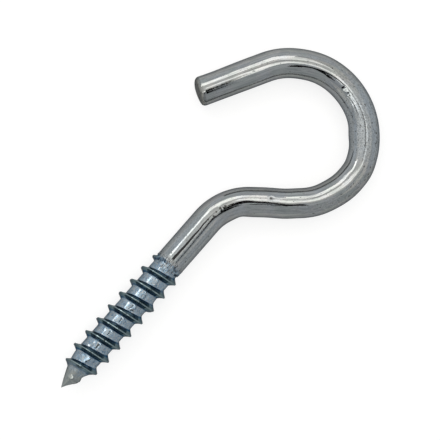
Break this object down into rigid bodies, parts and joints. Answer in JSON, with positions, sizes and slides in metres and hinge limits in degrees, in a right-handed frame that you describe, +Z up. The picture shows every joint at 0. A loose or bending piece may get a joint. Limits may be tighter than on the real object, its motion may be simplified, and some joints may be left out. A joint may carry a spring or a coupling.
{
  "type": "screw hook",
  "caption": "Open round hook bent from steel wire, with a pointed wood-screw thread: turned into wood by hand, and things hang in its bow.",
  "frame": {"origin": "on the screw's axis, at the shoulder where the thread ends and the plain wire starts", "axes": "+X runs along the screw from its point to the hook, +Y is the side that the free end lies on, and +Z is up, square to the floor that the hook lies on. The screw's axis dips 0.84 degrees towards the hook, as it does at rest."},
  "size_m": [0.0822, 0.0383, 0.0077],
  "materials": {
    "zinc_plate": "bright zinc plate on drawn steel wire, bluer on the rolled thread"
  },
  "bodies": {
    "root": {"screw_hook": "zinc_plate"}
  },
  "joints": []
}
